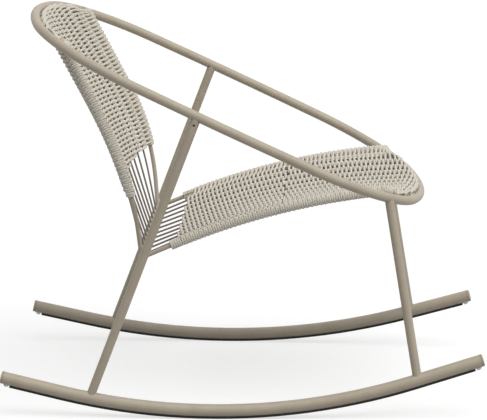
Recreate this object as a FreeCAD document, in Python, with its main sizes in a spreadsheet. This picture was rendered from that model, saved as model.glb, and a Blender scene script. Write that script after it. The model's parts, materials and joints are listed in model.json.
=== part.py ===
import FreeCAD, Part
import Sketcher
import math
import os

Vec = FreeCAD.Vector

# Driving dimensions in millimetres and degrees. +X is the chair's front, +Y the sitter's left, +Z up.
# The origin lies on the floor, midway along and across the rockers.
SIZES = {
    # round tubes and rods
    "hoop_tube_dia": 19.0,
    "leg_tube_dia": 18.0,
    "cross_tube_dia": 16.0,
    "tube_wall": 1.5,
    "rail_dia": 9.0,
    "rod_dia": 4.0,
    "rod_count": 10,
    "vent_dia": 6.0,
    "drain_dia": 4.5,
    "drain_drop": 17.0,
    # rockers: a long bend with a straight run at each end, leaning in and toed in
    "rocker_tube_dia": 25.0,
    "rocker_wall": 2.0,
    "rocker_radius": 1339.0,
    "rocker_rear_turn": 13.25,
    "rocker_front_turn": 17.34,
    "rocker_rear_run": 118.6,
    "rocker_front_run": 136.0,
    "rocker_cant": 14.3,
    "rocker_toe": 0.87,
    "rocker_low_x": -53.3,
    "track": 600.0,
    # treads, bumpers and end caps on the rockers
    "tread_width": 12.0,
    "tread_thickness": 3.5,
    "tread_end_gap": 14.5,
    "glue_film": 0.2,
    "bumper_dia": 12.0,
    "bumper_height": 5.0,
    "bumper_inset": 7.0,
    "cap_length": 6.0,
    "cap_edge": 1.5,
    "cap_plug_length": 16.0,
    "cap_clearance": 0.1,
    # hoop: a squarish oval of arcs in a plane that slopes down to the front
    "hoop_length": 870.2,
    "hoop_width": 648.8,
    "hoop_slope": 25.0,
    "hoop_x": -35.7,
    "hoop_z": 591.5,
    "hoop_side_radius": 3300.0,
    "hoop_front_corner": 238.0,
    "hoop_front_end_radius": 535.0,
    "hoop_rear_corner": 241.0,
    "hoop_rear_end_radius": 577.0,
    # legs: where they meet the hoop and the rockers
    "rear_leg_top_x": -85.5,
    "rear_leg_foot_back": 250.6,
    "front_leg_top_x": 289.8,
    "front_leg_foot_front": 404.1,
    # shell: rods run from the cross tube up the back and forward along the seat
    "bend_z": 310.2,
    "bend_half_width": 242.0,
    "back_top_half_width": 235.6,
    "back_rail_knee_x": -216.4,
    "back_rail_knee_y": 285.0,
    "back_rail_knee_z": 475.0,
    "back_mid_knee_x": -286.4,
    "back_mid_knee_z": 560.0,
    "back_bend_reach": 112.0,
    "back_tip_rise": 19.0,
    "seat_front_half_width": 219.0,
    "seat_rail_knee_x": 52.0,
    "seat_rail_knee_y": 227.2,
    "seat_rail_knee_z": 421.0,
    "seat_mid_knee_x": 72.0,
    "seat_mid_knee_z": 414.0,
    "seat_shoulder": 7.2,
    "seat_bend_reach": 200.0,
    "seat_tip_rise": 25.0,
    "seat_rail_lift": 4.5,
    "seat_bar_width": 6.0,
    "seat_bar_height": 4.0,
    "seat_bar_x": 81.7,
    "rod_tip_length": 40.0,
    "weld_clock": 55.0,
    "section_power": 2.3,
    "weld_depth": 0.5,
    "weld_gap": 0.1,
    # woven cord
    "cord_dia": 4.6,
    "cord_clearance": 0.35,
    "sleeve_clearance": 0.8,
    "back_weave_low_z": 446.0,
    "seat_weave_rear_x": -143.3,
}

doc = FreeCAD.newDocument("rocking_chair")
sheet = doc.addObject("Spreadsheet::Sheet", "sizes")
for row, (alias, value) in enumerate(SIZES.items(), start=1):
    sheet.set("A%d" % row, alias)
    sheet.set("B%d" % row, str(value))
    sheet.setAlias("B%d" % row, alias)
doc.recompute()

SIDES = {"right": -1, "left": 1}
ENDS = {"rear": -1, "front": 1}
GRID_STATIONS = 9
nodes = []


def size(alias):
    return float(sheet.get(alias))


def angle(alias):
    return math.radians(size(alias))


def keep(obj, label):
    """Register a finished sub-part under the name of its file."""
    obj.Label = label
    nodes.append(obj)
    return obj


# Building blocks

def place_between(start, end):
    return FreeCAD.Placement(start, FreeCAD.Rotation(Vec(0, 0, 1), end - start))


def cylinder(name, start, end, radius):
    """A round bar between two points, whose radius is an expression on the sizes."""
    bar = doc.addObject("Part::Cylinder", name)
    bar.setExpression("Radius", radius)
    bar.Height = (end - start).Length
    bar.Placement = place_between(start, end)
    return bar


def cut(name, base, *tools):
    """Cut each tool from the base in turn."""
    for step, tool in enumerate(tools):
        result = doc.addObject("Part::Cut", "%s_cut_%d" % (name, step))
        result.Base = base
        result.Tool = tool
        base = result
    return base


def path_object(name, edges):
    path = doc.addObject("Part::Feature", name)
    path.Shape = Part.Wire(edges)
    return path


def sweep(name, path, section):
    """Carry a closed section along a path of lines and arcs."""
    swept = doc.addObject("Part::Sweep", name)
    swept.Sections = [section]
    swept.Spine = (path, ["Edge%d" % (i + 1) for i in range(len(path.Shape.Edges))])
    swept.Solid = True
    return swept


def round_sweep(name, path, radius):
    """A round bar along a path, whose radius is an expression on the sizes."""
    first = path.Shape.OrderedEdges[0]
    start = first.valueAt(first.FirstParameter)
    tangent = first.tangentAt(first.FirstParameter)
    section = doc.addObject("Part::Circle", name + "_section")
    section.setExpression("Radius", radius)
    section.Placement = FreeCAD.Placement(start, FreeCAD.Rotation(Vec(0, 0, 1), tangent))
    return sweep(name, path, section)


def three_point_arc(start, middle, end):
    return Part.Arc(start, middle, end).toShape()


def tangent_arc(start, direction, end):
    """The arc that leaves a point in a given direction and ends at another point."""
    chord = end - start
    along = Vec(chord).normalize()
    turn = direction.getAngle(along)
    bulge = (direction - along * direction.dot(along)).normalize()
    middle = start + chord * 0.5 + bulge * (chord.Length / 2 * math.tan(turn / 2))
    return three_point_arc(start, middle, end)


def line(start, end):
    return Part.LineSegment(start, end).toShape()


# Rocker geometry, in the rocker's own plane: local X along it, local Z up from its lowest point

def rocker_placement(side):
    lean = FreeCAD.Rotation(Vec(1, 0, 0), side * size("rocker_cant"))
    toe = FreeCAD.Rotation(Vec(0, 0, 1), -side * size("rocker_toe"))
    height = size("rocker_tube_dia") / 2 + size("tread_thickness")
    base = Vec(size("rocker_low_x"), side * size("track") / 2, height)
    return FreeCAD.Placement(base, toe.multiply(lean))


def rocker_turn(end):
    return angle("rocker_rear_turn" if end < 0 else "rocker_front_turn")


def rocker_run(end):
    return size("rocker_rear_run" if end < 0 else "rocker_front_run")


def rocker_bend_end(end):
    radius = size("rocker_radius")
    turn = rocker_turn(end)
    return Vec(end * radius * math.sin(turn), 0, radius * (1 - math.cos(turn)))


def rocker_direction(end):
    turn = rocker_turn(end)
    return Vec(end * math.cos(turn), 0, math.sin(turn))


def rocker_point(end, short_of_end):
    """A point on the centre line, a given distance short of the tube's end."""
    return rocker_bend_end(end) + rocker_direction(end) * (rocker_run(end) - short_of_end)


def rocker_centre_at(along):
    """The centre line's point at a distance along the chord from its lowest point."""
    end = -1 if along < 0 else 1
    bend_end = rocker_bend_end(end)
    if abs(along) <= abs(bend_end.x):
        radius = size("rocker_radius")
        return Vec(along, 0, radius - math.sqrt(radius ** 2 - along ** 2))
    return Vec(along, 0, bend_end.z + abs(along - bend_end.x) * math.tan(rocker_turn(end)))


def rocker_edges(short_of_end):
    rear_bend = rocker_bend_end(-1)
    front_bend = rocker_bend_end(1)
    return [
        line(rocker_point(-1, short_of_end), rear_bend),
        three_point_arc(rear_bend, Vec(0, 0, 0), front_bend),
        line(front_bend, rocker_point(1, short_of_end)),
    ]


def rocker_section_axes(side, end):
    """Downward and sideways directions of the level underside, in the section at one end."""
    down_local = rocker_placement(side).Rotation.inverted().multVec(Vec(0, 0, -1))
    lean_y = down_local.y
    lean_z = -math.sqrt(1 - lean_y ** 2)
    along = rocker_direction(end)
    normal = Vec(-end * along.z, 0, end * along.x)
    down = Vec(0, lean_y, 0) + normal * lean_z
    across = along.cross(down)
    return down, across


# Hoop geometry, in the hoop's own plane: u runs forward and down, y to the left

def hoop_quarter(end):
    """Centres of the end and corner arcs of one half, with the corner's two tangent points."""
    half_length = size("hoop_length") / 2
    half_width = size("hoop_width") / 2
    side_radius = size("hoop_side_radius")
    corner = size("hoop_rear_corner" if end < 0 else "hoop_front_corner")
    end_radius = size("hoop_rear_end_radius" if end < 0 else "hoop_front_end_radius")
    side_centre = Vec(0, half_width - side_radius, 0)
    end_centre = Vec(half_length - end_radius, 0, 0)
    to_side = side_radius - corner
    to_end = end_radius - corner
    span = end_centre - side_centre
    along = (to_side ** 2 - to_end ** 2 + span.Length ** 2) / (2 * span.Length)
    away = math.sqrt(to_side ** 2 - along ** 2)
    unit = Vec(span).normalize()
    corner_centre = side_centre + unit * along + Vec(unit.y, -unit.x, 0) * away
    side_tangent = side_centre + (corner_centre - side_centre).normalize() * side_radius
    end_tangent = end_centre + (corner_centre - end_centre).normalize() * end_radius
    return {
        "corner": corner, "end_radius": end_radius, "side_radius": side_radius,
        "side_centre": side_centre, "end_centre": end_centre, "corner_centre": corner_centre,
        "side_tangent": side_tangent, "end_tangent": end_tangent, "half_length": half_length,
    }


def hoop_half_width_at(u):
    """Distance of the hoop's centre line from the middle, at a place along its length."""
    quarter = hoop_quarter(-1 if u < 0 else 1)
    reach = abs(u)
    if reach <= quarter["side_tangent"].x:
        return quarter["side_centre"].y + math.sqrt(quarter["side_radius"] ** 2 - reach ** 2)
    if reach <= quarter["end_tangent"].x:
        offset = reach - quarter["corner_centre"].x
        return quarter["corner_centre"].y + math.sqrt(quarter["corner"] ** 2 - offset ** 2)
    offset = reach - quarter["end_centre"].x
    return math.sqrt(quarter["end_radius"] ** 2 - offset ** 2)


def hoop_reach_at(y, end):
    """Distance of the hoop's centre line forward or back of its middle, at a place across it."""
    quarter = hoop_quarter(end)
    if abs(y) <= quarter["end_tangent"].y:
        reach = quarter["end_centre"].x + math.sqrt(quarter["end_radius"] ** 2 - y ** 2)
    else:
        offset = abs(y) - quarter["corner_centre"].y
        reach = quarter["corner_centre"].x + math.sqrt(quarter["corner"] ** 2 - offset ** 2)
    return end * reach


def hoop_tangent_at(y, end):
    """Direction of the hoop's centre line at a place across its rear or front end."""
    quarter = hoop_quarter(end)
    centre = quarter["end_centre"] if abs(y) <= quarter["end_tangent"].y else quarter["corner_centre"]
    radial_u = hoop_reach_at(y, end) - end * centre.x
    radial_y = y - math.copysign(centre.y, y)
    return (hoop_world(-radial_y, radial_u) - hoop_world(0, 0)).normalize()


def hoop_stretch(y, end):
    """Two points on the tangent there, which stand for the hoop where something ends on it."""
    centre = hoop_world(hoop_reach_at(y, end), y)
    reach = hoop_tangent_at(y, end) * (2 * size("hoop_tube_dia"))
    return centre - reach, centre + reach


def hoop_world(u, y):
    slope = angle("hoop_slope")
    return Vec(size("hoop_x") + u * math.cos(slope), y, size("hoop_z") - u * math.sin(slope))


def hoop_normal():
    """Direction off the hoop's plane, to the sitter's side."""
    slope = angle("hoop_slope")
    return Vec(math.sin(slope), 0, math.cos(slope))


def hoop_point_at_x(x, side):
    u = (x - size("hoop_x")) / math.cos(angle("hoop_slope"))
    return hoop_world(u, side * hoop_half_width_at(u))


def hoop_edges():
    """The closed centre line: side, corner, end and corner arcs, round from the right rear corner."""
    quarters = {end: hoop_quarter(end) for end in ENDS.values()}

    def tangent_point(end, side, key):
        point = quarters[end][key]
        return hoop_world(end * point.x, side * point.y)

    def corner_arc(end, side):
        quarter = quarters[end]
        centre = quarter["corner_centre"]
        outward = (quarter["side_tangent"] - centre) + (quarter["end_tangent"] - centre)
        middle = centre + outward.normalize() * quarter["corner"]
        points = [
            tangent_point(end, side, "side_tangent"),
            hoop_world(end * middle.x, side * middle.y),
            tangent_point(end, side, "end_tangent"),
        ]
        return points

    half_width = size("hoop_width") / 2
    half_length = size("hoop_length") / 2
    edges = [
        three_point_arc(tangent_point(-1, -1, "side_tangent"), hoop_world(0, -half_width),
                        tangent_point(1, -1, "side_tangent")),
        three_point_arc(*corner_arc(1, -1)),
        three_point_arc(tangent_point(1, -1, "end_tangent"), hoop_world(half_length, 0),
                        tangent_point(1, 1, "end_tangent")),
        three_point_arc(*reversed(corner_arc(1, 1))),
        three_point_arc(tangent_point(1, 1, "side_tangent"), hoop_world(0, half_width),
                        tangent_point(-1, 1, "side_tangent")),
        three_point_arc(*corner_arc(-1, 1)),
        three_point_arc(tangent_point(-1, 1, "end_tangent"), hoop_world(-half_length, 0),
                        tangent_point(-1, -1, "end_tangent")),
        three_point_arc(*reversed(corner_arc(-1, -1))),
    ]
    return edges


# Leg lines

def leg_line(which, side):
    """Top of a leg on the hoop's centre line and foot on the rocker's centre line."""
    top = hoop_point_at_x(size(which + "_leg_top_x"), side)
    along = -size("rear_leg_foot_back") if which == "rear" else size("front_leg_foot_front")
    foot = rocker_placement(side).multVec(rocker_centre_at(along))
    return top, foot


def rear_leg_at(z, side):
    top, foot = leg_line("rear", side)
    share = (top.z - z) / (top.z - foot.z)
    return top + (foot - top) * share


# Shell geometry: each rod is two straight runs joined by one bend, with a short curved tip on the hoop;
# v runs from -1 to 1 across

def rod_fractions():
    gaps = int(size("rod_count")) + 1
    return [1 - 2 * i / gaps for i in range(gaps + 1)]


def bend_x():
    return rear_leg_at(size("bend_z"), 1).x


def bar_radius(v):
    return size("rail_dia" if abs(v) == 1 else "rod_dia") / 2


def on_hoop(y, end, v):
    """Where a bar rests on the hoop, between its sitter's side and its inner side, sunk into the weld."""
    inward = hoop_normal().cross(hoop_tangent_at(y, end))
    clock = angle("weld_clock")
    outward = hoop_normal() * math.cos(clock) + inward * math.sin(clock)
    reach = size("hoop_tube_dia") / 2 + bar_radius(v) - size("weld_depth")
    return hoop_world(hoop_reach_at(y, end), y) + outward * reach


def mix(middle, edge, v):
    share = abs(v) ** size("section_power")
    return middle * (1 - share) + edge * share


def back_corners(v):
    """Start on the cross tube and knee of a rod in the back."""
    start = Vec(bend_x(), v * size("bend_half_width"), size("bend_z"))
    knee = Vec(
        mix(size("back_mid_knee_x"), size("back_rail_knee_x"), v),
        v * size("back_rail_knee_y"),
        mix(size("back_mid_knee_z"), size("back_rail_knee_z"), v),
    )
    return start, knee


def seat_corners(v):
    """Start on the cross tube and knee of a rod in the seat."""
    lift = size("seat_rail_lift") if abs(v) == 1 else 0
    start = Vec(bend_x(), v * size("bend_half_width"), size("bend_z") + lift)
    shoulder = size("seat_shoulder") * 4 * v ** 2 * (1 - v ** 2)
    knee = Vec(
        mix(size("seat_mid_knee_x"), size("seat_rail_knee_x"), v),
        v * size("seat_rail_knee_y"),
        mix(size("seat_mid_knee_z"), size("seat_rail_knee_z"), v) + shoulder,
    )
    return start, knee


PANELS = {
    "back": {"corners": back_corners, "reach": "back_bend_reach", "tip_rise": "back_tip_rise",
             "half_width": "back_top_half_width", "end": -1},
    "seat": {"corners": seat_corners, "reach": "seat_bend_reach", "tip_rise": "seat_tip_rise",
             "half_width": "seat_front_half_width", "end": 1},
}


def panel_hoop_stretch(panel, v):
    """The stretch of the hoop that a rod of a panel ends on."""
    return hoop_stretch(v * size(PANELS[panel]["half_width"]), PANELS[panel]["end"])


def rod_edges(panel, v):
    """Straight run, bend and straight run of one rod, and its tip that curves down onto the hoop."""
    start, knee = PANELS[panel]["corners"](v)
    reach = size(PANELS[panel]["reach"])
    y = v * size(PANELS[panel]["half_width"])
    end = PANELS[panel]["end"]
    aim = hoop_world(hoop_reach_at(y, end), y) + hoop_normal() * size(PANELS[panel]["tip_rise"])
    to_start = (start - knee).normalize()
    to_aim = (aim - knee).normalize()
    half_turn = (math.pi - to_start.getAngle(to_aim)) / 2
    radius = reach / math.tan(half_turn)
    bisector = (to_start + to_aim).normalize()
    middle = knee + bisector * (math.hypot(radius, reach) - radius)
    bend_start = knee + to_start * reach
    bend_end = knee + to_aim * reach
    tip = aim - to_aim * size("rod_tip_length")
    return [
        line(start, bend_start),
        three_point_arc(bend_start, middle, bend_end),
        line(bend_end, tip),
        tangent_arc(tip, to_aim, on_hoop(y, end, v)),
    ]


def rod_point(edges, distance):
    """Point at a distance along a rod from the cross tube."""
    for edge in edges:
        if distance <= edge.Length or edge is edges[-1]:
            return edge.valueAt(edge.getParameterByLength(min(distance, edge.Length)))
        distance -= edge.Length


def rod_distance_where(edges, reading, target):
    """Distance along a rod at which a rising reading of its points reaches a target."""
    low = 0
    high = sum(edge.Length for edge in edges)
    for _ in range(40):
        middle = (low + high) / 2
        if reading(rod_point(edges, middle)) < target:
            low = middle
        else:
            high = middle
    return (low + high) / 2


# Hoop

hoop_path = path_object("hoop_path", hoop_edges())
hoop_outer = round_sweep("hoop_outer", hoop_path, "sizes.hoop_tube_dia / 2")
hoop_bore = round_sweep("hoop_bore", hoop_path, "sizes.hoop_tube_dia / 2 - sizes.tube_wall")
hoop_vents = []
for which in ("rear", "front"):
    for side_name, side in SIDES.items():
        top, foot = leg_line(which, side)
        inward = (foot - top).normalize() * size("hoop_tube_dia")
        vent = cylinder("vent_%s_%s" % (which, side_name), top, top + inward, "sizes.vent_dia / 2")
        hoop_vents.append(vent)
keep(cut("hoop", hoop_outer, hoop_bore, *hoop_vents), "hoop")

# Rockers with treads, bumpers and end caps

rocker_outers = {}
for side_name, side in SIDES.items():
    placement = rocker_placement(side)
    path = path_object("rocker_path_" + side_name, rocker_edges(0))
    outer = round_sweep("rocker_outer_" + side_name, path, "sizes.rocker_tube_dia / 2")
    bore = round_sweep("rocker_bore_" + side_name, path, "sizes.rocker_tube_dia / 2 - sizes.rocker_wall")
    bed = round_sweep("rocker_bed_" + side_name, path, "sizes.rocker_tube_dia / 2 + sizes.glue_film")
    for tube in (outer, bore, bed):
        tube.Placement = placement
    rocker_outers[side] = outer
    keep(cut("rocker_" + side_name, outer, bore), "rocker_" + side_name)

    tread_path = path_object("tread_path_" + side_name, rocker_edges(size("tread_end_gap")))
    down, across = rocker_section_axes(side, -1)
    depth = size("rocker_tube_dia") / 2 + size("tread_thickness")
    half = across * (size("tread_width") / 2)
    origin = rocker_point(-1, size("tread_end_gap"))
    section = doc.addObject("Part::Feature", "tread_section_" + side_name)
    section.Shape = Part.makePolygon([
        origin - half, origin + half, origin + half + down * depth, origin - half + down * depth, origin - half,
    ])
    tread = sweep("tread_bar_" + side_name, tread_path, section)
    tread.Placement = placement
    keep(cut("tread_" + side_name, tread, bed), "tread_strip_" + side_name)

    for end_name, end in ENDS.items():
        name = "%s_%s" % (end_name, side_name)
        down, across = rocker_section_axes(side, end)
        seat = rocker_point(end, size("bumper_inset"))
        tip = seat + down * (size("rocker_tube_dia") / 2 + size("bumper_height"))
        stem = cylinder("bumper_stem_" + name, placement.multVec(seat), placement.multVec(tip),
                        "sizes.bumper_dia / 2")
        dome_radius = "(sizes.bumper_dia ^ 2 / 4 + sizes.bumper_height ^ 2) / (2 * sizes.bumper_height)"
        dome = doc.addObject("Part::Sphere", "bumper_dome_" + name)
        dome.setExpression("Radius", dome_radius)
        doc.recompute()
        dome.Placement = FreeCAD.Placement(placement.multVec(tip - down * dome.Radius.Value), FreeCAD.Rotation())
        solid = doc.addObject("Part::Common", "bumper_solid_" + name)
        solid.Base = stem
        solid.Tool = dome
        keep(cut("bumper_" + name, solid, bed), "bumper_" + name)


def body_sketch(body, name, role):
    sketch = body.newObject("Sketcher::SketchObject", name)
    plane = next(feature for feature in body.Origin.OriginFeatures if feature.Role == role)
    sketch.AttachmentSupport = [(plane, "")]
    sketch.MapMode = "FlatFace"
    return sketch


def disc_pad(body, name, radius, length, down):
    """Pad a disc whose radius and length are expressions on the sizes."""
    sketch = body_sketch(body, name + "_sketch", "XY_Plane")
    start_radius = 10
    sketch.addGeometry(Part.Circle(Vec(0, 0, 0), Vec(0, 0, 1), start_radius), False)
    sketch.addConstraint(Sketcher.Constraint("Coincident", 0, 3, -1, 1))
    constraint = sketch.addConstraint(Sketcher.Constraint("Radius", 0, start_radius))
    sketch.setExpression("Constraints[%d]" % constraint, radius)
    pad = body.newObject("PartDesign::Pad", name + "_pad")
    pad.Profile = sketch
    pad.setExpression("Length", length)
    pad.Reversed = down
    doc.recompute()
    return pad


for side_name, side in SIDES.items():
    for end_name, end in ENDS.items():
        name = "rocker_cap_%s_%s" % (end_name, side_name)
        body = doc.addObject("PartDesign::Body", name)
        disc_pad(body, name + "_plug", "sizes.rocker_tube_dia / 2 - sizes.rocker_wall - sizes.cap_clearance",
                 "sizes.cap_plug_length", True)
        head = disc_pad(body, name + "_head", "sizes.rocker_tube_dia / 2", "sizes.cap_length", False)
        outer_rims = [
            "Edge%d" % (i + 1) for i, edge in enumerate(head.Shape.Edges)
            if abs(edge.BoundBox.ZMin - size("cap_length")) < 1e-6
        ]
        rounded = body.newObject("PartDesign::Fillet", name + "_edge")
        rounded.Base = (head, outer_rims)
        rounded.setExpression("Radius", "sizes.cap_edge")
        body.Tip = rounded
        direction = FreeCAD.Rotation(Vec(0, 0, 1), rocker_direction(end))
        local = FreeCAD.Placement(rocker_point(end, 0), direction)
        body.Placement = rocker_placement(side).multiply(local)
        keep(body, name)

# Legs and cross tube

leg_outers = {}
for which in ("rear", "front"):
    for side_name, side in SIDES.items():
        name = "%s_leg_%s" % (which, side_name)
        top, foot = leg_line(which, side)
        outer = cylinder(name + "_outer", top, foot, "sizes.leg_tube_dia / 2")
        bore = cylinder(name + "_bore", top, foot, "sizes.leg_tube_dia / 2 - sizes.tube_wall")
        leg_outers[which, side] = outer
        tools = [bore, hoop_outer, rocker_outers[side]]
        if which == "rear":
            hole = top + (foot - top).normalize() * size("drain_drop")
            outward = Vec(0, side * size("leg_tube_dia"), 0)
            tools.append(cylinder(name + "_drain", hole, hole + outward, "sizes.drain_dia / 2"))
        keep(cut(name, outer, *tools), name)

cross_ends = [rear_leg_at(size("bend_z"), side) for side in SIDES.values()]
cross_outer = cylinder("cross_outer", *cross_ends, "sizes.cross_tube_dia / 2")
cross_bore = cylinder("cross_bore", *cross_ends, "sizes.cross_tube_dia / 2 - sizes.tube_wall")
keep(cut("bend_cross_tube", cross_outer, cross_bore, *[leg_outers["rear", side] for side in SIDES.values()]),
     "bend_cross_tube")

# Rails and thin rods

bars = {}
for panel in PANELS:
    for i, v in enumerate(rod_fractions()):
        is_rail = abs(v) == 1
        side_name = "left" if v > 0 else "right"
        label = "%s_side_rail_%s" % (panel, side_name) if is_rail else "%s_rod_%02d" % (panel, i)
        radius = "sizes.rail_dia / 2" if is_rail else "sizes.rod_dia / 2"
        path = path_object(label + "_path", rod_edges(panel, v))
        bar = round_sweep(label + "_bar", path, radius)
        bars[panel, v] = bar
        cope = cylinder(label + "_cope", *panel_hoop_stretch(panel, v), "sizes.hoop_tube_dia / 2")
        tools = [cross_outer, cope]
        if is_rail and panel == "seat":
            tools += [leg_outers["front", SIDES[side_name]], bars["back", v]]
        keep(cut(label, bar, *tools), label)


def seat_bar_heights():
    """Place across and height of the bar's top under every seat rod."""
    places = []
    for v in rod_fractions():
        edges = rod_edges("seat", v)
        under = []
        for edge_x in (-size("seat_bar_width") / 2, size("seat_bar_width") / 2):
            target = size("seat_bar_x") + edge_x
            point = rod_point(edges, rod_distance_where(edges, lambda point: point.x, target))
            under.append(point.z - bar_radius(v) - size("weld_gap"))
        places.append((point.y, min(under)))
    return places


def seat_bar_shape(clearance):
    """A flat bar across the seat, under every rod and out to the side rails, grown by a clearance."""
    rear_x = size("seat_bar_x") - size("seat_bar_width") / 2 - clearance
    places = seat_bar_heights()
    top = [Vec(rear_x, y, z + clearance) for y, z in places]
    under = [Vec(rear_x, y, z - size("seat_bar_height") - clearance) for y, z in reversed(places)]
    outline = Part.makePolygon(top + under + top[:1])
    return Part.Face(outline).extrude(Vec(size("seat_bar_width") + 2 * clearance, 0, 0))


seat_bar = doc.addObject("Part::Feature", "seat_cross_bar")
seat_bar.Shape = seat_bar_shape(0)
keep(seat_bar, "seat_cross_bar")

doc.recompute()


# Woven cord: a sheet two cords thick round the rods, with a sleeve of turns on each side rail

def round_bar(edges, radius):
    """A plain round solid along lines and arcs."""
    first = edges[0]
    start = first.valueAt(first.FirstParameter)
    section = Part.Wire([Part.makeCircle(radius, start, first.tangentAt(first.FirstParameter))])
    return Part.Wire(edges).makePipeShell([section], True, False)


def straight_bar(start, end, radius):
    return Part.makeCylinder(radius, (end - start).Length, start, end - start)


def trimmed_edges(edges, from_distance):
    """The stretch of a rod from a distance along it to its end."""
    stretch = []
    for edge in edges:
        if from_distance >= edge.Length:
            from_distance -= edge.Length
            continue
        if from_distance > 0:
            first = edge.getParameterByLength(from_distance)
            edge = edge.Curve.toShape(first, edge.LastParameter)
            from_distance = 0
        stretch.append(edge)
    return stretch


def weave_start(panel, v):
    """Distance along a rod at which the weave begins."""
    edges = rod_edges(panel, v)
    if panel == "back":
        return rod_distance_where(edges, lambda point: point.z, size("back_weave_low_z"))
    return rod_distance_where(edges, lambda point: point.x, size("seat_weave_rear_x"))


def weave_end(panel, v):
    """Distance along a rod at which the weave stops, clear of the hoop."""
    first, second = panel_hoop_stretch(panel, v)
    along = (second - first).normalize()

    def nearness(point):
        return -(point - first).cross(along).Length

    return rod_distance_where(rod_edges(panel, v), nearness,
                              -size("hoop_tube_dia") / 2 - size("cord_dia") - size("cord_clearance"))


def weave_sheet(panel):
    """The sheet between the side rails, as a closed solid of two curved faces and their edges."""
    rows = []
    for v in rod_fractions():
        edges = rod_edges(panel, v)
        begin = weave_start(panel, v)
        stretch = weave_end(panel, v) - begin
        steps = [begin + stretch * k / (GRID_STATIONS - 1) for k in range(GRID_STATIONS)]
        rows.append([rod_point(edges, distance) for distance in steps])
    last_row = len(rows) - 1
    last_station = GRID_STATIONS - 1
    faces = []
    for offset in (size("cord_dia"), -size("cord_dia")):
        grid = []
        for i, row in enumerate(rows):
            across = [rows[min(i + 1, last_row)][k] - rows[max(i - 1, 0)][k] for k in range(GRID_STATIONS)]
            along = [row[min(k + 1, last_station)] - row[max(k - 1, 0)] for k in range(GRID_STATIONS)]
            normals = [along[k].cross(across[k]).normalize() for k in range(GRID_STATIONS)]
            grid.append([point + normal * offset for point, normal in zip(row, normals)])
        surface = Part.BSplineSurface()
        surface.interpolate(grid)
        faces.append((surface.toShape(), grid))
    (top, top_grid), (under, under_grid) = faces

    def border(surface_face, grid, corner_a, corner_b):
        ends = [grid[corner_a[0]][corner_a[1]], grid[corner_b[0]][corner_b[1]]]
        near = 1e-3
        for edge in surface_face.Edges:
            points = [vertex.Point for vertex in edge.Vertexes]
            if all(any(point.distanceToPoint(end) < near for point in points) for end in ends):
                return edge

    corners = [(0, 0), (last_row, 0), (last_row, last_station), (0, last_station)]
    walls = []
    for corner_a, corner_b in zip(corners, corners[1:] + corners[:1]):
        upper = border(top, top_grid, corner_a, corner_b)
        lower = border(under, under_grid, corner_a, corner_b)
        walls.append(Part.makeRuledSurface(upper, lower))
    shell = Part.makeShell([top, under] + walls)
    shell.sewShape()
    solid = Part.makeSolid(shell)
    if solid.Volume < 0:
        solid.reverse()
    return solid


def weave_shape(panel):
    sheet_solid = weave_sheet(panel)
    clearance = size("cord_clearance")
    cord = size("cord_dia")
    sleeves = []
    channels = []
    for v in rod_fractions():
        edges = rod_edges(panel, v)
        if abs(v) == 1:
            sleeves.append(round_bar(trimmed_edges(edges, weave_start(panel, v)), bar_radius(v) + cord))
            hoop_ends = panel_hoop_stretch(panel, v)
            channels.append(straight_bar(*hoop_ends, size("hoop_tube_dia") / 2 + size("sleeve_clearance")))
        channels.append(round_bar(edges, bar_radius(v) + clearance))
    if panel == "seat":
        channels.append(seat_bar_shape(clearance))
        for side in SIDES.values():
            channels.append(straight_bar(*leg_line("front", side), size("leg_tube_dia") / 2 + clearance))
    whole = sheet_solid
    for sleeve in sleeves:
        whole = whole.fuse(sleeve)
    for channel in channels:
        whole = whole.cut(channel)
    return whole


for panel in PANELS:
    weave = doc.addObject("Part::Feature", panel + "_weave")
    weave.Shape = weave_shape(panel)
    keep(weave, panel + "_weave")

doc.recompute()

# Checks, then one file for each sub-part

for obj in doc.Objects:
    if "Invalid" in obj.State or "Error" in obj.State:
        raise RuntimeError("%s failed to build: %s" % (obj.Label, obj.State))
for obj in nodes:
    if obj.Shape.isNull() or not obj.Shape.isValid():
        raise RuntimeError("%s has no valid shape" % obj.Label)
    print("%-26s %d solid, %9.1f mm3" % (obj.Label, len(obj.Shape.Solids), obj.Shape.Volume))

os.makedirs("parts", exist_ok=True)
for obj in nodes:
    obj.Shape.exportStep("parts/%s.step" % obj.Label)
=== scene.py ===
import json
import math

import bpy
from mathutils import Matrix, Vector


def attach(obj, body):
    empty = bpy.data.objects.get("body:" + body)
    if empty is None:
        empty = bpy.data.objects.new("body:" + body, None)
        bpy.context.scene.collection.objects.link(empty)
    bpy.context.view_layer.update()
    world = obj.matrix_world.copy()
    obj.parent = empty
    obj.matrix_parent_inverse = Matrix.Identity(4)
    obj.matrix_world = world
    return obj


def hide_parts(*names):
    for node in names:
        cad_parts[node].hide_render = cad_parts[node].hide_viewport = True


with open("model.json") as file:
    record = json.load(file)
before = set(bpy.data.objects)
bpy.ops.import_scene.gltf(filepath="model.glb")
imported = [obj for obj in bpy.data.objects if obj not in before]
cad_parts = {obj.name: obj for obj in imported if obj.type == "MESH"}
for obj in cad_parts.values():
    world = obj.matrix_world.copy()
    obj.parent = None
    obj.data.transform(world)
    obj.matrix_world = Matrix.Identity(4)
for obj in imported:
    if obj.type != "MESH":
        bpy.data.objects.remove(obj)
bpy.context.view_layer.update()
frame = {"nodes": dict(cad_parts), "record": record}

MM = 0.001
PHOTO_WIDTH = 487


# Chair shell, in millimetres: where the rods run that the cord is woven on

HOOP_LENGTH, HOOP_WIDTH = 870.2, 648.8
HOOP_SLOPE = math.radians(25.0)
HOOP_MIDDLE = Vector((-35.7, 0, 591.5))
HOOP_NORMAL = Vector((math.sin(HOOP_SLOPE), 0, math.cos(HOOP_SLOPE)))
HOOP_SIDE_RADIUS = 3300.0
HOOP_TUBE_RADIUS = 9.5

# Which way each end of the hoop lies, and the radii of its corners and of its end
HOOP_ENDS = {"back": (-1, 241.0, 577.0), "seat": (1, 238.0, 535.0)}

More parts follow.
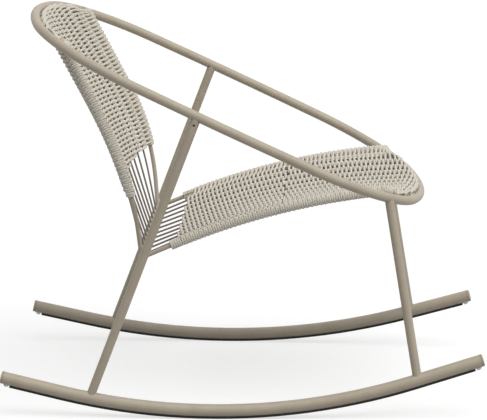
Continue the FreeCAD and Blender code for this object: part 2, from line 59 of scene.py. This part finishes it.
ROD_RADIUS, RAIL_RADIUS, ROD_GAPS = 2.0, 4.5, 11

# The rods end on the hoop, turned from its sitter's side towards its inner side, on a curved tip
WELD_DEPTH = 0.5
WELD_CLOCK = math.radians(55.0)
TIP_LENGTH = 40.0

# How the section rises to the rails, where the back bends into the seat, and the bar under the seat
SECTION_POWER = 2.3
BEND_X, BEND_Z, BEND_HALF_WIDTH = -201.1, 310.2, 242.0
SEAT_SHOULDER, SEAT_RAIL_LIFT = 7.2, 4.5
SEAT_BAR_X = 81.7

# The cord, where the weaves begin, and how far short of a rod's or a rail's end they stop
CORD_DIAMETER = 5.4
BACK_LOW_Z, SEAT_REAR_X = 446.0, -143.3
WEAVE_SHORT, RAIL_SHORT = 3.0, 13.0

# Knees of the middle rods and of the side rails, half width at the hoop, reach of the bend on each side of
# the knee, and how high above the hoop's centre line the rods aim
SHELLS = {
    "back": {"middle": (-286.4, 560.0), "rail": (-216.4, 285.0, 475.0), "half_width": 235.6,
             "reach": 112.0, "rise": 19.0},
    "seat": {"middle": (72.0, 414.0), "rail": (52.0, 227.2, 421.0), "half_width": 219.0,
             "reach": 200.0, "rise": 25.0},
}


def hoop_point(u, y):
    """A point of the hoop's plane: u forward and down from its middle, y to the left."""
    return HOOP_MIDDLE + Vector((u * math.cos(HOOP_SLOPE), y, -u * math.sin(HOOP_SLOPE)))


def hoop_reach(y, panel):
    """How far the hoop's centre line lies from its middle, at a place across its end."""
    end, corner_radius, end_radius = HOOP_ENDS[panel]
    side_centre = Vector((0, HOOP_WIDTH / 2 - HOOP_SIDE_RADIUS))
    end_centre = Vector((HOOP_LENGTH / 2 - end_radius, 0))
    span = end_centre - side_centre
    to_side, to_end = HOOP_SIDE_RADIUS - corner_radius, end_radius - corner_radius
    along = (to_side ** 2 - to_end ** 2 + span.length ** 2) / (2 * span.length)
    away = math.sqrt(to_side ** 2 - along ** 2)
    unit = span.normalized()
    corner = side_centre + unit * along + Vector((unit.y, -unit.x)) * away
    tangent = end_centre + (corner - end_centre).normalized() * end_radius
    if abs(y) <= tangent.y:
        return end * (end_centre.x + math.sqrt(end_radius ** 2 - y ** 2))
    return end * (corner.x + math.sqrt(corner_radius ** 2 - (abs(y) - corner.y) ** 2))


def mix(middle, edge, v):
    share = abs(v) ** SECTION_POWER
    return middle * (1 - share) + edge * share


def bar_radius(v):
    return RAIL_RADIUS if abs(v) == 1 else ROD_RADIUS


def hoop_inward(y, panel):
    """Direction from the hoop's centre line to the middle of the ring, in its plane."""
    end = HOOP_ENDS[panel][0]
    step = 0.5
    right, left = [hoop_point(hoop_reach(place, panel), place) for place in (y - step, y + step)]
    return (HOOP_NORMAL.cross(left - right) * end).normalized()


def rod_corners(panel, v):
    """Start on the cross tube, knee, point aimed at above the hoop, and end on the hoop of one rod."""
    shell = SHELLS[panel]
    lift = SEAT_RAIL_LIFT if panel == "seat" and abs(v) == 1 else 0
    shoulder = SEAT_SHOULDER * 4 * v ** 2 * (1 - v ** 2) if panel == "seat" else 0
    start = Vector((BEND_X, v * BEND_HALF_WIDTH, BEND_Z + lift))
    (middle_x, middle_z), (rail_x, rail_y, rail_z) = shell["middle"], shell["rail"]
    knee = Vector((mix(middle_x, rail_x, v), v * rail_y, mix(middle_z, rail_z, v) + shoulder))
    y = v * shell["half_width"]
    hoop = hoop_point(hoop_reach(y, panel), y)
    outward = HOOP_NORMAL * math.cos(WELD_CLOCK) + hoop_inward(y, panel) * math.sin(WELD_CLOCK)
    end = hoop + outward * (HOOP_TUBE_RADIUS + bar_radius(v) - WELD_DEPTH)
    return start, knee, hoop + HOOP_NORMAL * shell["rise"], end, shell["reach"]


def arc(centre, spoke, forward, radius, turned):
    """A point on an arc that sets out from the end of a spoke, after some length of it."""
    turn = turned / radius
    return centre + spoke * math.cos(turn) + forward * (radius * math.sin(turn))


def rod_course(start, knee, aim, end, reach):
    """Length of a rod and the function that gives its points: run, bend, run, and tip onto the hoop."""
    to_start = (start - knee).normalized()
    to_aim = (aim - knee).normalized()
    half_turn = (math.pi - to_start.angle(to_aim)) / 2
    radius = reach / math.tan(half_turn)
    centre = knee + (to_start + to_aim).normalized() * math.hypot(radius, reach)
    spoke = knee + to_start * reach - centre
    tip = aim - to_aim * TIP_LENGTH
    chord = end - tip
    tip_turn = to_aim.angle(chord)
    tip_radius = chord.length / (2 * math.sin(tip_turn))
    inward = (chord - to_aim * chord.dot(to_aim)).normalized()
    first = (start - knee).length - reach
    bend = 2 * half_turn * radius
    second = (tip - knee).length - reach
    last = 2 * tip_turn * tip_radius

    def point(distance):
        if distance <= first:
            return start - to_start * distance
        distance -= first
        if distance <= bend:
            return arc(centre, spoke, -to_start, radius, distance)
        distance -= bend
        if distance <= second:
            return knee + to_aim * (reach + distance)
        distance -= second
        return arc(tip + inward * tip_radius, -inward * tip_radius, to_aim, tip_radius, distance)

    return first + bend + second + last, point


def distance_where(point, length, axis, target):
    """Distance along a rod at which one coordinate has risen to a target."""
    low, high = 0.0, length
    halvings = 30
    for _ in range(halvings):
        middle = (low + high) / 2
        low, high = (middle, high) if point(middle)[axis] < target else (low, middle)
    return low


def panel_rods(panel):
    """Every rod and side rail of a panel from left to right, with its woven stretch."""
    rods = []
    for i in range(ROD_GAPS + 1):
        v = 1 - 2 * i / ROD_GAPS
        length, point = rod_course(*rod_corners(panel, v))
        if panel == "back":
            start = distance_where(point, length, 2, BACK_LOW_Z)
        else:
            start = distance_where(point, length, 0, SEAT_REAR_X)
        is_rail = abs(v) == 1
        rods.append({
            "v": v, "point": point, "start": start, "rail": is_rail,
            "end": length - (RAIL_SHORT if is_rail else WEAVE_SHORT), "radius": bar_radius(v),
        })
    return rods


# Materials

def linear(hex_colour):
    """sRGB hex to the linear colour that shaders take."""
    values = [int(hex_colour[i:i + 2], 16) / 255 for i in (1, 3, 5)]
    return [c / 12.92 if c <= 0.04045 else ((c + 0.055) / 1.055) ** 2.4 for c in values] + [1.0]


def add_node(tree, kind, settings=None, inputs=None):
    """Add a node, set its properties, and give its sockets values or links."""
    node = tree.nodes.new(kind)
    for name, value in (settings or {}).items():
        setattr(node, name, value)
    for name, value in (inputs or {}).items():
        socket = node.inputs[name]
        if isinstance(value, bpy.types.NodeSocket):
            tree.links.new(value, socket)
        else:
            socket.default_value = value
    return node


def new_material(name):
    material = bpy.data.materials.new(name)
    material.use_nodes = True
    tree = material.node_tree
    tree.nodes.clear()
    return material, tree


def finish_material(tree, shader):
    add_node(tree, "ShaderNodeOutputMaterial", None, {"Surface": shader.outputs[0]})


def colour_ramp(tree, factor, stops):
    ramp = add_node(tree, "ShaderNodeValToRGB", None, {"Fac": factor})
    elements = ramp.color_ramp.elements
    while len(elements) < len(stops):
        elements.new(1.0)
    for element, (position, colour) in zip(elements, stops):
        element.position = position
        element.color = linear(colour)
    return ramp.outputs["Color"]


def powder_coated_steel(name, dark, light):
    """Polyester powder coat baked on steel tube: a satin skin with fine orange peel and a faint mottle."""
    material, tree = new_material(name)
    place = add_node(tree, "ShaderNodeTexCoord").outputs["Object"]
    mottle = add_node(tree, "ShaderNodeTexNoise", None,
                      {"Vector": place, "Scale": 1 / (40 * MM), "Detail": 4.0, "Roughness": 0.6})
    peel = add_node(tree, "ShaderNodeTexNoise", None,
                    {"Vector": place, "Scale": 1 / (1.6 * MM), "Detail": 2.0, "Roughness": 0.5})
    bump = add_node(tree, "ShaderNodeBump", None,
                    {"Strength": 0.25, "Distance": 0.15 * MM, "Height": peel.outputs["Fac"]})
    rough = add_node(tree, "ShaderNodeMapRange", None,
                     {"Value": mottle.outputs["Fac"], "To Min": 0.42, "To Max": 0.56})
    shader = add_node(tree, "ShaderNodeBsdfPrincipled", None, {
        "Base Color": colour_ramp(tree, mottle.outputs["Fac"], [(0.3, dark), (0.7, light)]),
        "Roughness": rough.outputs["Result"], "IOR": 1.5, "Normal": bump.outputs["Normal"]})
    finish_material(tree, shader)
    return material


def braided_cord(name, hollow_shade, crown):
    """Solution-dyed polyester braid: matt, with crossing yarns that show as small diamonds, painted shade
    darkening the hollows between the yarns and the crowns left lighter.
    """
    material, tree = new_material(name)
    along = add_node(tree, "ShaderNodeAttribute", {"attribute_name": "along"}).outputs["Fac"]
    around = add_node(tree, "ShaderNodeAttribute", {"attribute_name": "around"}).outputs["Vector"]
    side = add_node(tree, "ShaderNodeSeparateXYZ", None, {"Vector": around})
    angle = add_node(tree, "ShaderNodeMath", {"operation": "ARCTAN2"},
                     {0: side.outputs["Y"], 1: side.outputs["X"]}).outputs[0]
    yarns, lay = 4.0, 9.0 * MM
    turn = add_node(tree, "ShaderNodeMath", {"operation": "MULTIPLY"},
                    {0: along, 1: 2 * math.pi / lay}).outputs[0]
    waves = []
    for way in (yarns, -yarns):
        phase = add_node(tree, "ShaderNodeMath", {"operation": "MULTIPLY_ADD"}, {0: angle, 1: way, 2: turn})
        wave = add_node(tree, "ShaderNodeMath", {"operation": "SINE"}, {0: phase.outputs[0]})
        waves.append(wave.outputs[0])
    crossing = add_node(tree, "ShaderNodeMath", {"operation": "MULTIPLY"}, {0: waves[0], 1: waves[1]})
    height = add_node(tree, "ShaderNodeMapRange", None,
                      {"Value": crossing.outputs[0], "From Min": -1.0, "From Max": 1.0})
    place = add_node(tree, "ShaderNodeTexCoord").outputs["Object"]
    fading = add_node(tree, "ShaderNodeTexNoise", None,
                      {"Vector": place, "Scale": 1 / (14 * MM), "Detail": 3.0, "Roughness": 0.6})
    # Painted shade from the braid relief, darker in the hollows and lighter on the crowns, plus a random
    # fading tone
    shade_and_tone = add_node(tree, "ShaderNodeMath", {"operation": "MULTIPLY_ADD", "use_clamp": True},
                    {0: height.outputs["Result"], 1: 0.45, 2: fading.outputs["Fac"]})
    bump = add_node(tree, "ShaderNodeBump", None,
                    {"Strength": 0.6, "Distance": 0.35 * MM, "Height": height.outputs["Result"]})
    shader = add_node(tree, "ShaderNodeBsdfPrincipled", None, {
        # Colour runs from the painted shade of the hollows to the crowns
        "Base Color": colour_ramp(tree, shade_and_tone.outputs[0], [(0.3, hollow_shade), (0.8, crown)]),
        "Roughness": 0.85, "IOR": 1.45, "Sheen Weight": 0.2, "Sheen Roughness": 0.5,
        "Normal": bump.outputs["Normal"]})
    finish_material(tree, shader)
    return material


def tread_rubber(name):
    """Extruded EPDM strip: near black and matt, with a fine dusty grain."""
    material, tree = new_material(name)
    place = add_node(tree, "ShaderNodeTexCoord").outputs["Object"]
    grain = add_node(tree, "ShaderNodeTexNoise", None,
                     {"Vector": place, "Scale": 1 / (2.5 * MM), "Detail": 3.0, "Roughness": 0.6})
    bump = add_node(tree, "ShaderNodeBump", None,
                    {"Strength": 0.3, "Distance": 0.2 * MM, "Height": grain.outputs["Fac"]})
    shader = add_node(tree, "ShaderNodeBsdfPrincipled", None, {
        "Base Color": colour_ramp(tree, grain.outputs["Fac"], [(0.3, "#0D0C0A"), (0.7, "#1D1B18")]),
        "Roughness": 0.8, "IOR": 1.5, "Normal": bump.outputs["Normal"]})
    finish_material(tree, shader)
    return material


def cloudy_polyurethane(name):
    """Cast clear polyurethane dome: milky, lets light through softly."""
    material, tree = new_material(name)
    place = add_node(tree, "ShaderNodeTexCoord").outputs["Object"]
    cloud = add_node(tree, "ShaderNodeTexNoise", None,
                     {"Vector": place, "Scale": 1 / (5 * MM), "Detail": 2.0})
    rough = add_node(tree, "ShaderNodeMapRange", None,
                     {"Value": cloud.outputs["Fac"], "To Min": 0.25, "To Max": 0.4})
    shader = add_node(tree, "ShaderNodeBsdfPrincipled", None, {
        "Base Color": colour_ramp(tree, cloud.outputs["Fac"], [(0.3, "#DDDCD6"), (0.7, "#F1F0EC")]),
        "Roughness": rough.outputs["Result"], "IOR": 1.5, "Transmission Weight": 0.45})
    finish_material(tree, shader)
    return material


def moulded_nylon(name, dark, light):
    """Injection-moulded nylon plug, tinted to match the tube: satin with a fine spark texture."""
    material, tree = new_material(name)
    place = add_node(tree, "ShaderNodeTexCoord").outputs["Object"]
    spark = add_node(tree, "ShaderNodeTexNoise", None,
                     {"Vector": place, "Scale": 1 / (0.9 * MM), "Detail": 2.0})
    bump = add_node(tree, "ShaderNodeBump", None,
                    {"Strength": 0.2, "Distance": 0.1 * MM, "Height": spark.outputs["Fac"]})
    shader = add_node(tree, "ShaderNodeBsdfPrincipled", None, {
        "Base Color": colour_ramp(tree, spark.outputs["Fac"], [(0.3, dark), (0.7, light)]),
        "Roughness": 0.5, "IOR": 1.53, "Normal": bump.outputs["Normal"]})
    finish_material(tree, shader)
    return material


# One finish for each slot of the frame; the thin rods get the tube's own coat darkened with painted shade,
# for the shade the cord casts on them
FINISHES = {
    "frame_coat": powder_coated_steel("powder_coated_steel", "#B0A592", "#BAAF9C"),
    # Painted shade: the frame's coat darkened for the thin rods lying in the shade of the cords
    "rod_coat_painted_shade": powder_coated_steel("powder_coated_rod", "#756C61", "#80776B"),
    "cord": braided_cord("braided_polyester_cord", "#C9C1B1", "#DDD7CA"),
    "tread_rubber": tread_rubber("epdm_rubber_strip"),
    "bumper_plastic": cloudy_polyurethane("cloudy_polyurethane"),
    "cap_plastic": moulded_nylon("moulded_nylon_cap", "#A09481", "#A89C89"),
}

for part in frame["record"]["subparts"]:
    node = frame["nodes"][part["node"]]
    node.data.materials.clear()
    thin = "_rod_" in part["node"]
    # The thin rods take the coat darkened with painted shade
    node.data.materials.append(FINISHES["rod_coat_painted_shade" if thin else part["material_slot"]])


# Woven cord

def cord_tree():
    """Lift each crossing off its rod, run a smooth cord through them, and give it its thickness."""
    tree = bpy.data.node_groups.new("woven_cord", "GeometryNodeTree")
    face = tree.interface
    face.new_socket("Rows", in_out="INPUT", socket_type="NodeSocketGeometry")
    face.new_socket("Cord diameter", in_out="INPUT", socket_type="NodeSocketFloat")
    face.new_socket("Drift", in_out="INPUT", socket_type="NodeSocketFloat")
    face.new_socket("Steps", in_out="INPUT", socket_type="NodeSocketInt")
    face.new_socket("Sides", in_out="INPUT", socket_type="NodeSocketInt")
    face.new_socket("Seed", in_out="INPUT", socket_type="NodeSocketInt")
    face.new_socket("Cord", in_out="INPUT", socket_type="NodeSocketMaterial")
    face.new_socket("Weave", in_out="OUTPUT", socket_type="NodeSocketGeometry")
    given = tree.nodes.new("NodeGroupInput").outputs
    lift = add_node(tree, "GeometryNodeInputNamedAttribute", {"data_type": "FLOAT_VECTOR"},
                    {"Name": "lift"})
    bar = add_node(tree, "GeometryNodeInputNamedAttribute", {"data_type": "FLOAT"}, {"Name": "bar_radius"})
    cord_radius = add_node(tree, "ShaderNodeMath", {"operation": "MULTIPLY"},
                           {0: given["Cord diameter"], 1: 0.5}).outputs[0]
    height = add_node(tree, "ShaderNodeMath", {"operation": "ADD"},
                      {0: bar.outputs["Attribute"], 1: cord_radius}).outputs[0]
    rise = add_node(tree, "ShaderNodeVectorMath", {"operation": "SCALE"},
                    {0: lift.outputs["Attribute"], "Scale": height}).outputs[0]
    low = add_node(tree, "ShaderNodeMath", {"operation": "MULTIPLY"},
                   {0: given["Drift"], 1: -1.0}).outputs[0]
    drift = add_node(tree, "FunctionNodeRandomValue", {"data_type": "FLOAT_VECTOR"},
                     {0: low, 1: given["Drift"], "Seed": given["Seed"]}).outputs[0]
    offset = add_node(tree, "ShaderNodeVectorMath", {"operation": "ADD"}, {0: rise, 1: drift}).outputs[0]
    placed = add_node(tree, "GeometryNodeSetPosition", None, {"Geometry": given["Rows"], "Offset": offset})
    curve = add_node(tree, "GeometryNodeMeshToCurve", None, {"Mesh": placed.outputs[0]})
    smooth = add_node(tree, "GeometryNodeCurveSplineType", {"spline_type": "CATMULL_ROM"},
                      {"Curve": curve.outputs[0]})
    fine = add_node(tree, "GeometryNodeSetSplineResolution", None,
                    {"Geometry": smooth.outputs[0], "Resolution": given["Steps"]})
    length = add_node(tree, "GeometryNodeSplineParameter").outputs["Length"]
    marked = add_node(tree, "GeometryNodeStoreNamedAttribute", {"data_type": "FLOAT", "domain": "POINT"},
                      {"Geometry": fine.outputs[0], "Name": "along", "Value": length})
    ring = add_node(tree, "GeometryNodeCurvePrimitiveCircle", None,
                    {"Resolution": given["Sides"], "Radius": cord_radius})
    spot = add_node(tree, "ShaderNodeVectorMath", {"operation": "NORMALIZE"},
                    {0: add_node(tree, "GeometryNodeInputPosition").outputs[0]})
    profile = add_node(tree, "GeometryNodeStoreNamedAttribute",
                       {"data_type": "FLOAT_VECTOR", "domain": "POINT"},
                       {"Geometry": ring.outputs["Curve"], "Name": "around", "Value": spot.outputs[0]})
    swept = add_node(tree, "GeometryNodeCurveToMesh", None,
                     {"Curve": marked.outputs[0], "Profile Curve": profile.outputs[0], "Fill Caps": True})
    shaded = add_node(tree, "GeometryNodeSetShadeSmooth", None, {"Geometry": swept.outputs[0]})
    real = add_node(tree, "GeometryNodeRealizeInstances", None, {"Geometry": shaded.outputs[0]})
    dressed = add_node(tree, "GeometryNodeSetMaterial", None,
                       {"Geometry": real.outputs[0], "Material": given["Cord"]})
    out = tree.nodes.new("NodeGroupOutput")
    tree.links.new(dressed.outputs[0], out.inputs["Weave"])
    return tree


# Row pitch on the middle rods and on the rails; first row on the rods and how much later on the rails
ROW_PITCH = {"back": (4.9, 4.75), "seat": (4.72, 4.68)}
FIRST_ROW = {"back": (0.0, 0.0), "seat": (10.0, 14.0)}

# Turns round each rail before the first row, and which way off the rods the sitter is
RAIL_TURNS_BEFORE = {"back": 0, "seat": 5}
SITTER_SIDE = {"back": -1, "seat": 1}

# How sharply the later start of the rails fades towards the middle, and the wider gap over the bar
RAIL_FADE = 8
BAR_SEAM = 2.6

# Length over which the last rows close up, and rows that are still pressed in there on rails and on rods
CROWDING, CROWDED_ROWS = 7.0, {True: 9, False: 4}

# Places round a bar where a row turns back, and those of a single turn
WRAP_ANGLES = [math.radians(a) for a in (0, 60, 120, 180, 240, 290)]
TURN_ANGLES = [math.radians(-60)] + WRAP_ANGLES


def row_distance(panel, rod, k):
    """Distance along a rod of one row of cord, which stands clear of the bar under the seat."""
    on_rods, later_on_rails = FIRST_ROW[panel]
    pitch = mix(*ROW_PITCH[panel], rod["v"])
    distance = rod["start"] + on_rods + later_on_rails * rod["v"] ** RAIL_FADE + (k + 0.5) * pitch
    if panel == "seat" and distance > rod["bar"] and not rod["rail"]:
        distance += BAR_SEAM
    return distance


def crowded(rod, distance):
    """The last rows close up where a rod runs into the hoop."""
    return rod["end"] - CROWDING * math.log1p(math.exp((rod["end"] - distance) / CROWDING))


def neighbours(bars):
    """Numbers of bars, split into runs without a gap."""
    runs = []
    for i in bars:
        if runs and i == runs[-1][-1] + 1:
            runs[-1].append(i)
        else:
            runs.append([i])
    return runs


def weave_rows(panel):
    """Crossings of every row: place on the rod, direction off it and the rod's radius."""
    rods = panel_rods(panel)
    if panel == "seat":
        for rod in rods:
            rod["bar"] = distance_where(rod["point"], rod["end"], 0, SEAT_BAR_X) - CORD_DIAMETER / 2
    side = SITTER_SIDE[panel]

    def frame_at(i, distance):
        """Place on a rod, direction off it to the sitter, and direction away from the middle."""
        rod = rods[i]
        point = rod["point"]
        step = 1.0
        along = (point(distance + step) - point(distance - step)).normalized()
        left, right = rods[max(i - 1, 0)], rods[min(i + 1, ROD_GAPS)]
        woven = distance - rod["start"]
        across = left["point"](left["start"] + woven) - right["point"](right["start"] + woven)
        normal = (along.cross(across) * side).normalized()
        outward = along.cross(normal).normalized()
        if outward.y * rod["v"] < 0:
            outward = -outward
        return point(distance), normal, outward

    def wrap(i, distance, angles, over=1):
        """A turn of cord round a rail or an end rod, from one face over its outer side to the other."""
        place, normal, outward = frame_at(i, distance)
        radius = rods[i]["radius"]
        return [(place, normal * (math.cos(a) * over) + outward * math.sin(a), radius) for a in angles]

    rows = []
    for turn in range(RAIL_TURNS_BEFORE[panel]):
        for i in (0, ROD_GAPS):
            distance = rods[i]["start"] + (turn + 0.5) * mix(*ROW_PITCH[panel], 1)
            rows.append(wrap(i, distance, TURN_ANGLES))
    k = 0
    while True:
        present = [i for i, rod in enumerate(rods)
                   if row_distance(panel, rod, k) <= rod["end"] + CROWDED_ROWS[rod["rail"]] * CORD_DIAMETER]
        if not present:
            break
        for run in neighbours(present):
            row = []
            for i in run:
                distance = crowded(rods[i], row_distance(panel, rods[i], k))
                over = 1 if (i + k) % 2 else -1
                if i == run[0]:
                    row += wrap(i, distance, WRAP_ANGLES[::-1], over)
                elif i == run[-1]:
                    row += wrap(i, distance, WRAP_ANGLES, over)
                else:
                    place, normal, outward = frame_at(i, distance)
                    row.append((place, normal * over, rods[i]["radius"]))
            rows.append(row)
        k += 1
    return rows


def rows_mesh(name, rows):
    """The rows as chains of points that carry the lift and the radius of what they cross."""
    points = [crossing for row in rows for crossing in row]
    edges = []
    first = 0
    for row in rows:
        edges += [(first + j, first + j + 1) for j in range(len(row) - 1)]
        first += len(row)
    mesh = bpy.data.meshes.new(name)
    mesh.from_pydata([place * MM for place, lift, radius in points], edges, [])
    lifts = mesh.attributes.new("lift", "FLOAT_VECTOR", "POINT")
    lifts.data.foreach_set("vector", [c for place, lift, radius in points for c in lift])
    radii = mesh.attributes.new("bar_radius", "FLOAT", "POINT")
    radii.data.foreach_set("value", [radius * MM for place, lift, radius in points])
    return mesh


def grow(name, mesh, tree, sizes):
    """Run a node tree on a mesh and keep the result as a plain mesh in a new piece."""
    source = bpy.data.objects.new(name + "_rows", mesh)
    bpy.context.scene.collection.objects.link(source)
    modifier = source.modifiers.new("grow", "NODES")
    modifier.node_group = tree
    for item in tree.interface.items_tree:
        if item.in_out == "INPUT" and item.name in sizes:
            modifier[item.identifier] = sizes[item.name]
    evaluated = source.evaluated_get(bpy.context.evaluated_depsgraph_get())
    grown = bpy.data.meshes.new_from_object(evaluated)
    bpy.data.objects.remove(source)
    grown.name = name
    piece = bpy.data.objects.new(name, grown)
    bpy.context.scene.collection.objects.link(piece)
    return piece


weave_tree = cord_tree()
for panel, seed in (("back", 3), ("seat", 8)):
    piece = grow(panel + "_woven_cord", rows_mesh(panel + "_rows", weave_rows(panel)), weave_tree, {
        "Cord diameter": CORD_DIAMETER * MM, "Drift": 0.12 * MM, "Steps": 4, "Sides": 8, "Seed": seed,
        "Cord": FINISHES["cord"]})
    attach(piece, "root")
    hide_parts(panel + "_weave")


# Stage, light and camera

def white_for_the_eye(tree):
    """1 on rays from the camera and in reflections, 0 on rays that carry light."""
    rays = add_node(tree, "ShaderNodeLightPath").outputs
    seen = add_node(tree, "ShaderNodeMath", {"operation": "MAXIMUM"},
                    {0: rays["Is Camera Ray"], 1: rays["Is Glossy Ray"]})
    return add_node(tree, "ShaderNodeMath", {"operation": "MAXIMUM"},
                    {0: seen.outputs[0], 1: rays["Is Transmission Ray"]}).outputs[0]


def floor_paper():
    """Matt white backdrop paper, lifted to white where no shadow falls."""
    lift = 0.66
    material, tree = new_material("matt_backdrop_paper")
    paper = add_node(tree, "ShaderNodeBsdfDiffuse", None, {"Color": linear("#AAAAAA")})
    lifted = add_node(tree, "ShaderNodeEmission", None,
                      {"Color": linear("#FFFFFF"), "Strength": lift})
    glow = add_node(tree, "ShaderNodeMixShader", None,
                    {0: white_for_the_eye(tree), 2: lifted.outputs[0]})
    both = add_node(tree, "ShaderNodeAddShader", None, {0: paper.outputs[0], 1: glow.outputs[0]})
    finish_material(tree, both)
    return material


FLOOR_HALF = 12.0
floor_mesh = bpy.data.meshes.new("studio_floor")
floor_mesh.from_pydata(
    [(-FLOOR_HALF, -FLOOR_HALF, 0), (FLOOR_HALF, -FLOOR_HALF, 0),
     (FLOOR_HALF, FLOOR_HALF, 0), (-FLOOR_HALF, FLOOR_HALF, 0)], [], [(0, 1, 2, 3)])
floor_mesh.materials.append(floor_paper())
floor = bpy.data.objects.new("studio_floor", floor_mesh)
bpy.context.scene.collection.objects.link(floor)

SKY_LIGHT, SKY_SEEN = 0.35, 1.0
world = bpy.data.worlds.new("studio_sky")
world.use_nodes = True
sky = world.node_tree
sky.nodes.clear()
seen = white_for_the_eye(sky)
soft = add_node(sky, "ShaderNodeBackground", None, {"Color": linear("#FFFFFF"), "Strength": SKY_LIGHT})
white = add_node(sky, "ShaderNodeBackground", None, {"Color": linear("#FFFFFF"), "Strength": SKY_SEEN})
chosen = add_node(sky, "ShaderNodeMixShader", None, {0: seen, 1: soft.outputs[0], 2: white.outputs[0]})
add_node(sky, "ShaderNodeOutputWorld", None, {"Surface": chosen.outputs[0]})
bpy.context.scene.world = world


def studio_lamp(name, from_place, strength, spread):
    """A wide soft light from one direction, even over the whole floor."""
    lamp = bpy.data.lights.new(name, "SUN")
    lamp.energy = strength
    lamp.angle = math.radians(spread)
    holder = bpy.data.objects.new(name, lamp)
    holder.location = from_place
    holder.rotation_euler = Vector(from_place).to_track_quat("Z", "Y").to_euler()
    bpy.context.scene.collection.objects.link(holder)


studio_lamp("light_above", (0.8, -0.9, 3.0), 1.5, 50)
studio_lamp("light_right", (3.0, -1.5, 2.4), 0.7, 40)

CAMERA_PLACE = Vector((0.17387, -5.28781, 1.49807))
CAMERA_YAW, CAMERA_PITCH = 0.0341, 0.2117
FOCAL_PIXELS = 2601.4
SENSOR_WIDTH = 36.0
camera = bpy.data.cameras.new("photo_camera")
camera.sensor_fit = "HORIZONTAL"
camera.sensor_width = SENSOR_WIDTH
camera.lens = FOCAL_PIXELS / PHOTO_WIDTH * SENSOR_WIDTH
camera.clip_end = 5 * FLOOR_HALF
eye = bpy.data.objects.new("photo_camera", camera)
eye.location = CAMERA_PLACE
eye.rotation_euler = (math.pi / 2 - CAMERA_PITCH, 0, CAMERA_YAW)
bpy.context.scene.collection.objects.link(eye)
bpy.context.scene.camera = eye

bpy.context.scene.view_settings.view_transform = "Standard"
